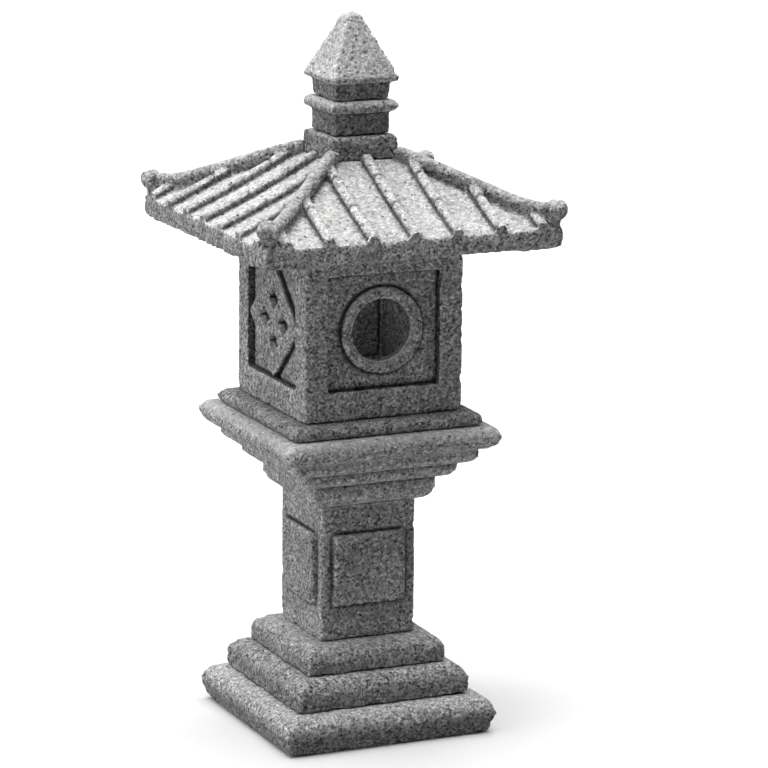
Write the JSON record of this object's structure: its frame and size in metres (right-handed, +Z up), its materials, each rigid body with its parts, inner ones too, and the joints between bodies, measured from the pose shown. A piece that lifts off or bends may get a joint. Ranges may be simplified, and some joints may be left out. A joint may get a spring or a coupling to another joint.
{
  "type": "stone lantern",
  "caption": "Square stone garden lantern of dry-stacked blocks: stepped foot, panelled post, platform, firebox with round window and diamond lattice, tiled roof and finial.",
  "frame": {"origin": "centre of the underside of the base slab, on the ground", "axes": "+Z up along the lantern's axis, -Y towards the front with its round window, +X to the right"},
  "size_m": [0.41, 0.41, 0.909],
  "materials": {
    "stone": "matte",
    "pad_rubber": "matte",
    "steel": "satin",
    "saucer": "matte",
    "cup_aluminium": "satin",
    "wax": "satin",
    "wick": "matte",
    "tinplate": "satin"
  },
  "bodies": {
    "foot": {"base_slab": "stone", "middle_step": "stone", "top_step": "stone", "base_dowels": "steel", "pads_under_middle_step": "pad_rubber", "pads_under_top_step": "pad_rubber", "pads_under_post": "pad_rubber"},
    "post": {"post": "stone", "pads_under_corbel": "pad_rubber"},
    "platform": {"corbel": "stone", "platform_slab": "stone", "firebox_plinth": "stone", "platform_dowels": "steel", "pads_under_platform": "pad_rubber", "pads_under_plinth": "pad_rubber", "pads_under_firebox": "pad_rubber", "candle_dish": "saucer"},
    "firebox": {"firebox_frame": "stone", "front_window_panel": "stone", "back_window_panel": "stone", "left_lattice_panel": "stone", "right_lattice_panel": "stone", "pads_under_roof": "pad_rubber"},
    "roof": {"roof": "stone", "pads_under_finial": "pad_rubber"},
    "finial": {"finial_base": "stone", "finial_collar": "stone", "finial_cap": "stone", "finial_pin": "steel", "pads_under_collar": "pad_rubber", "pads_under_cap": "pad_rubber"},
    "tealight": {"tealight_cup": "cup_aluminium", "tealight_wax": "wax", "tealight_wick": "wick", "wick_sustainer": "tinplate"}
  },
  "joints": [
    {"name": "post_lift", "type": "slide", "parent": "foot", "child": "post", "axis": [0, 0, 1], "range_m": [0, 0.045]},
    {"name": "platform_lift", "type": "slide", "parent": "post", "child": "platform", "axis": [0, 0, 1], "range_m": [0, 0.045]},
    {"name": "firebox_lift", "type": "slide", "parent": "platform", "child": "firebox", "axis": [0, 0, 1], "range_m": [0, 0.04]},
    {"name": "roof_lift", "type": "slide", "parent": "firebox", "child": "roof", "axis": [0, 0, 1], "range_m": [0, 0.06]},
    {"name": "finial_lift", "type": "slide", "parent": "roof", "child": "finial", "axis": [0, 0, 1], "range_m": [0, 0.06]},
    {"name": "tealight_lift", "type": "slide", "parent": "platform", "child": "tealight", "axis": [0, 0, 1], "range_m": [0, 0.06]}
  ]
}
